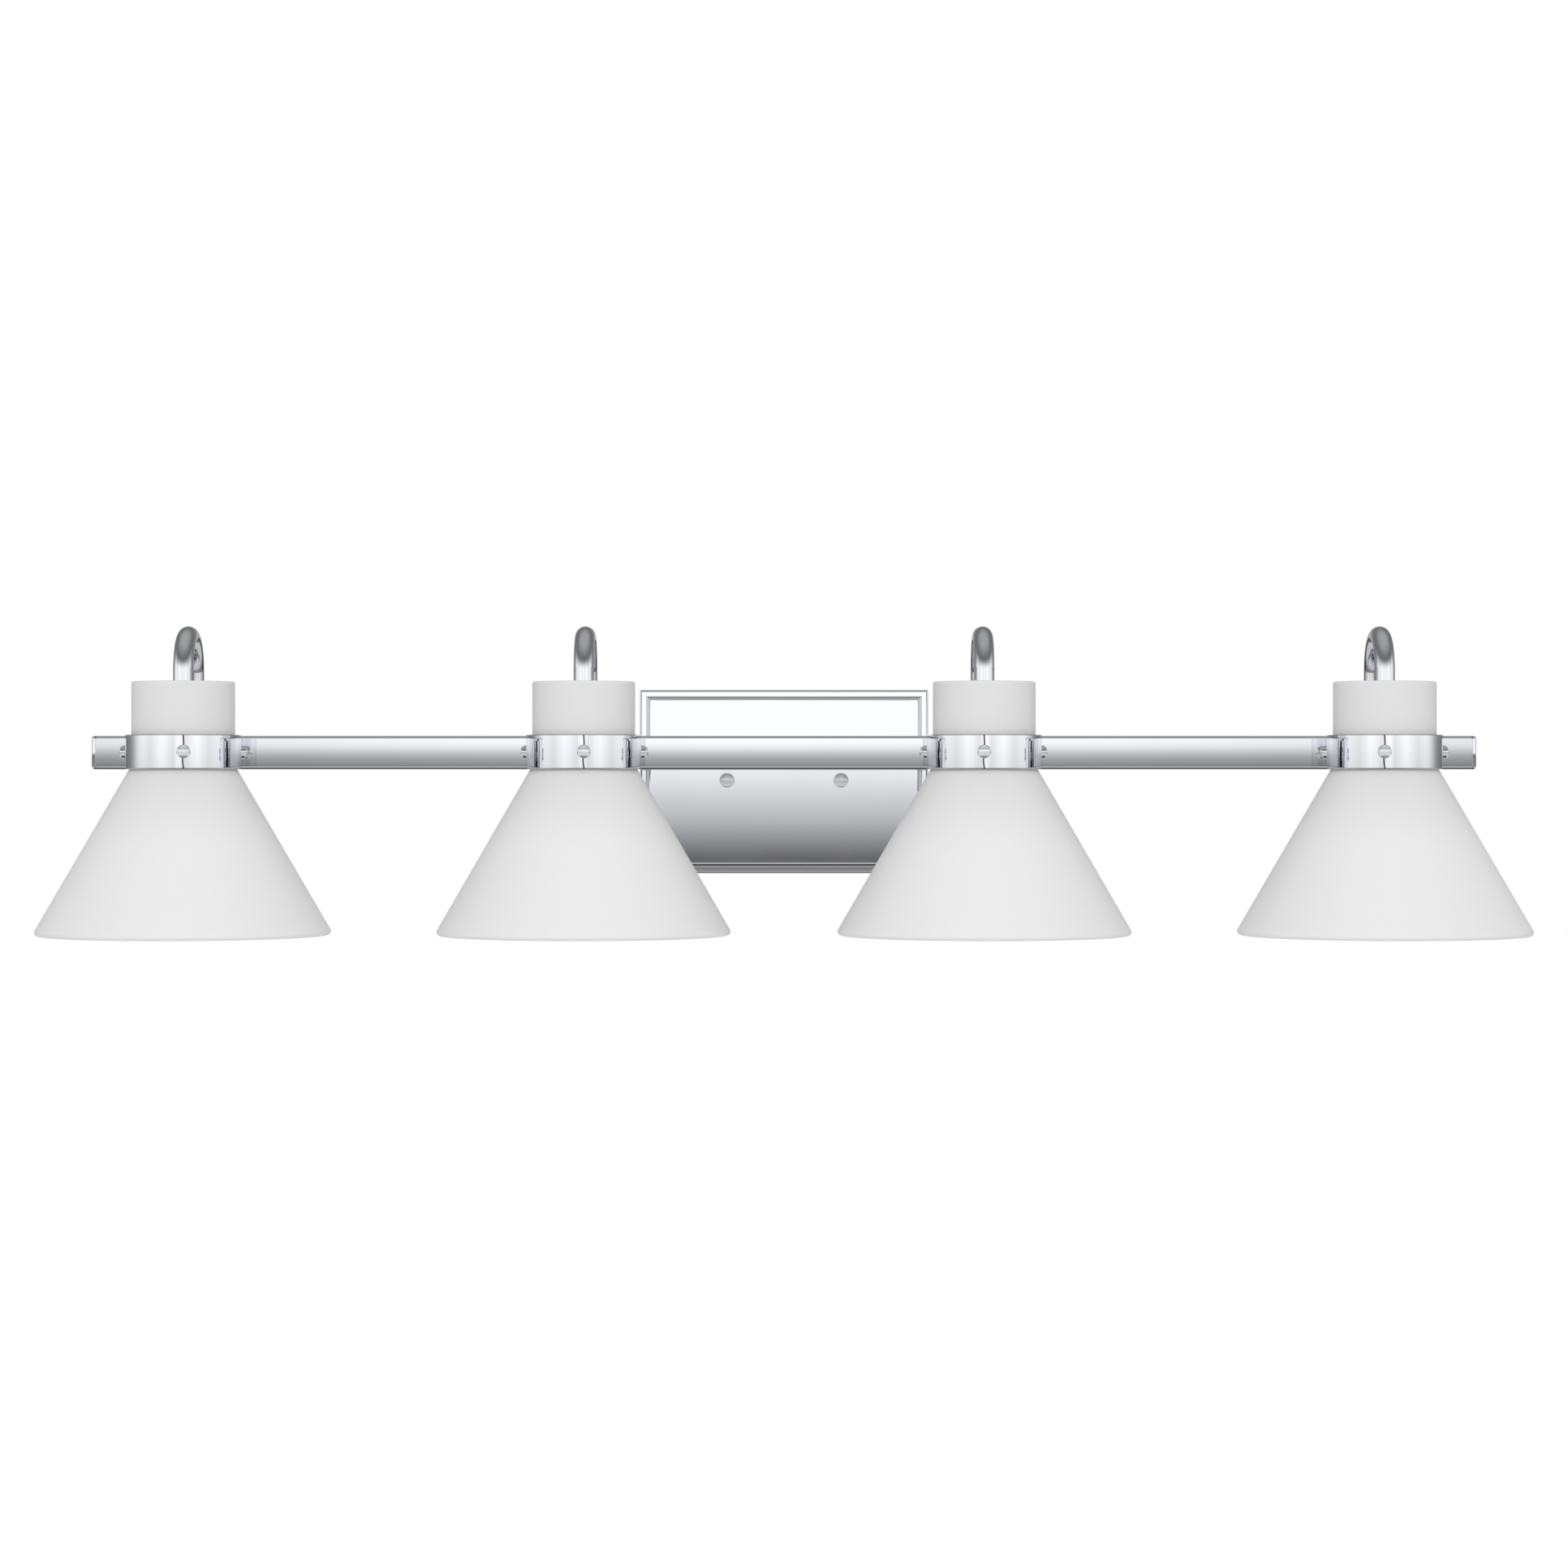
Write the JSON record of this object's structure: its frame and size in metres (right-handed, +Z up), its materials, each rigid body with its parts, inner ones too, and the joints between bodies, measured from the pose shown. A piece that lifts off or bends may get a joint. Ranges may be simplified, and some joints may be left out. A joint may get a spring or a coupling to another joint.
{
  "type": "vanity light bar",
  "caption": "Wall-mounted vanity light bar: cone shades of opal glass clamped in chrome rings along a rectangular chrome bar on a stepped canopy.",
  "frame": {"origin": "centre of the canopy on the wall plane, on the back face of the crossbar", "axes": "+X along the bar to the right as seen from the front, +Y into the wall, +Z up"},
  "size_m": [0.838, 0.1902, 0.1741],
  "materials": {
    "chrome": "polished chrome plate",
    "opal_glass": "acid-etched opal white glass",
    "phenolic": "moulded phenolic",
    "brass": "drawn sheet",
    "bulb_glass": "frosted white",
    "zinc": "zinc plated",
    "green_screw": "green passivated",
    "lead_jacket": "smooth jacket"
  },
  "bodies": {
    "fixture": {"shade_ring_1": "chrome", "arm_1": "chrome", "socket_cup_1": "chrome", "socket_body_1": "phenolic", "socket_shell_1": "brass", "lamp_lead_1": "lead_jacket", "shade_ring_2": "chrome", "arm_2": "chrome", "socket_cup_2": "chrome", "socket_body_2": "phenolic", "socket_shell_2": "brass", "lamp_lead_2": "lead_jacket", "shade_ring_3": "chrome", "arm_3": "chrome", "socket_cup_3": "chrome", "socket_body_3": "phenolic", "socket_shell_3": "brass", "lamp_lead_3": "lead_jacket", "shade_ring_4": "chrome", "arm_4": "chrome", "socket_cup_4": "chrome", "socket_body_4": "phenolic", "socket_shell_4": "brass", "lamp_lead_4": "lead_jacket", "bar_tube": "chrome", "bar_end_cap_left": "chrome", "bar_end_cap_right": "chrome", "bar_post_left": "chrome", "bar_post_right": "chrome", "canopy": "chrome", "crossbar": "zinc", "canopy_stud_left": "zinc", "canopy_stud_right": "zinc", "post_nut_left": "zinc", "post_nut_right": "zinc", "ground_screw": "green_screw"},
    "thumbscrew_1_front": {"thumbscrew_1_front": "chrome"},
    "thumbscrew_1_right": {"thumbscrew_1_right": "chrome"},
    "thumbscrew_1_left": {"thumbscrew_1_left": "chrome"},
    "shade_1": {"shade_1": "opal_glass"},
    "bulb_1": {"bulb_1": "bulb_glass"},
    "thumbscrew_2_front": {"thumbscrew_2_front": "chrome"},
    "thumbscrew_2_right": {"thumbscrew_2_right": "chrome"},
    "thumbscrew_2_left": {"thumbscrew_2_left": "chrome"},
    "shade_2": {"shade_2": "opal_glass"},
    "bulb_2": {"bulb_2": "bulb_glass"},
    "thumbscrew_3_front": {"thumbscrew_3_front": "chrome"},
    "thumbscrew_3_right": {"thumbscrew_3_right": "chrome"},
    "thumbscrew_3_left": {"thumbscrew_3_left": "chrome"},
    "shade_3": {"shade_3": "opal_glass"},
    "bulb_3": {"bulb_3": "bulb_glass"},
    "thumbscrew_4_front": {"thumbscrew_4_front": "chrome"},
    "thumbscrew_4_right": {"thumbscrew_4_right": "chrome"},
    "thumbscrew_4_left": {"thumbscrew_4_left": "chrome"},
    "shade_4": {"shade_4": "opal_glass"},
    "bulb_4": {"bulb_4": "bulb_glass"},
    "finial_left": {"finial_left": "chrome"},
    "finial_right": {"finial_right": "chrome"}
  },
  "joints": [
    {"name": "thumbscrew_1_front_release", "type": "slide", "parent": "fixture", "child": "thumbscrew_1_front", "axis": [0.1513, -0.9885, 0], "range_m": [0, 0.002]},
    {"name": "thumbscrew_1_right_release", "type": "slide", "parent": "fixture", "child": "thumbscrew_1_right", "axis": [0.7804, 0.6253, 0], "range_m": [0, 0.002]},
    {"name": "thumbscrew_1_left_release", "type": "slide", "parent": "fixture", "child": "thumbscrew_1_left", "axis": [-0.9317, 0.3632, 0], "range_m": [0, 0.002]},
    {"name": "shade_1_lower", "type": "slide", "parent": "fixture", "child": "shade_1", "axis": [0, 0, -1], "range_m": [0, 0.13]},
    {"name": "bulb_1_unscrew", "type": "slide", "parent": "fixture", "child": "bulb_1", "axis": [0, 0, -1], "range_m": [0, 0.026]},
    {"name": "thumbscrew_2_front_release", "type": "slide", "parent": "fixture", "child": "thumbscrew_2_front", "axis": [0.051, -0.9987, 0], "range_m": [0, 0.002]},
    {"name": "thumbscrew_2_right_release", "type": "slide", "parent": "fixture", "child": "thumbscrew_2_right", "axis": [0.8394, 0.5435, 0], "range_m": [0, 0.002]},
    {"name": "thumbscrew_2_left_release", "type": "slide", "parent": "fixture", "child": "thumbscrew_2_left", "axis": [-0.8904, 0.4552, 0], "range_m": [0, 0.002]},
    {"name": "shade_2_lower", "type": "slide", "parent": "fixture", "child": "shade_2", "axis": [0, 0, -1], "range_m": [0, 0.13]},
    {"name": "bulb_2_unscrew", "type": "slide", "parent": "fixture", "child": "bulb_2", "axis": [0, 0, -1], "range_m": [0, 0.026]},
    {"name": "thumbscrew_3_front_release", "type": "slide", "parent": "fixture", "child": "thumbscrew_3_front", "axis": [-0.051, -0.9987, 0], "range_m": [0, 0.002]},
    {"name": "thumbscrew_3_right_release", "type": "slide", "parent": "fixture", "child": "thumbscrew_3_right", "axis": [0.8904, 0.4552, 0], "range_m": [0, 0.002]},
    {"name": "thumbscrew_3_left_release", "type": "slide", "parent": "fixture", "child": "thumbscrew_3_left", "axis": [-0.8394, 0.5435, 0], "range_m": [0, 0.002]},
    {"name": "shade_3_lower", "type": "slide", "parent": "fixture", "child": "shade_3", "axis": [0, 0, -1], "range_m": [0, 0.13]},
    {"name": "bulb_3_unscrew", "type": "slide", "parent": "fixture", "child": "bulb_3", "axis": [0, 0, -1], "range_m": [0, 0.026]},
    {"name": "thumbscrew_4_front_release", "type": "slide", "parent": "fixture", "child": "thumbscrew_4_front", "axis": [-0.1513, -0.9885, 0], "range_m": [0, 0.002]},
    {"name": "thumbscrew_4_right_release", "type": "slide", "parent": "fixture", "child": "thumbscrew_4_right", "axis": [0.9317, 0.3632, 0], "range_m": [0, 0.002]},
    {"name": "thumbscrew_4_left_release", "type": "slide", "parent": "fixture", "child": "thumbscrew_4_left", "axis": [-0.7804, 0.6253, 0], "range_m": [0, 0.002]},
    {"name": "shade_4_lower", "type": "slide", "parent": "fixture", "child": "shade_4", "axis": [0, 0, -1], "range_m": [0, 0.13]},
    {"name": "bulb_4_unscrew", "type": "slide", "parent": "fixture", "child": "bulb_4", "axis": [0, 0, -1], "range_m": [0, 0.026]},
    {"name": "finial_left_unscrew", "type": "slide", "parent": "fixture", "child": "finial_left", "axis": [0, -1, 0], "range_m": [0, 0.0045]},
    {"name": "finial_right_unscrew", "type": "slide", "parent": "fixture", "child": "finial_right", "axis": [0, -1, 0], "range_m": [0, 0.0045]}
  ]
}
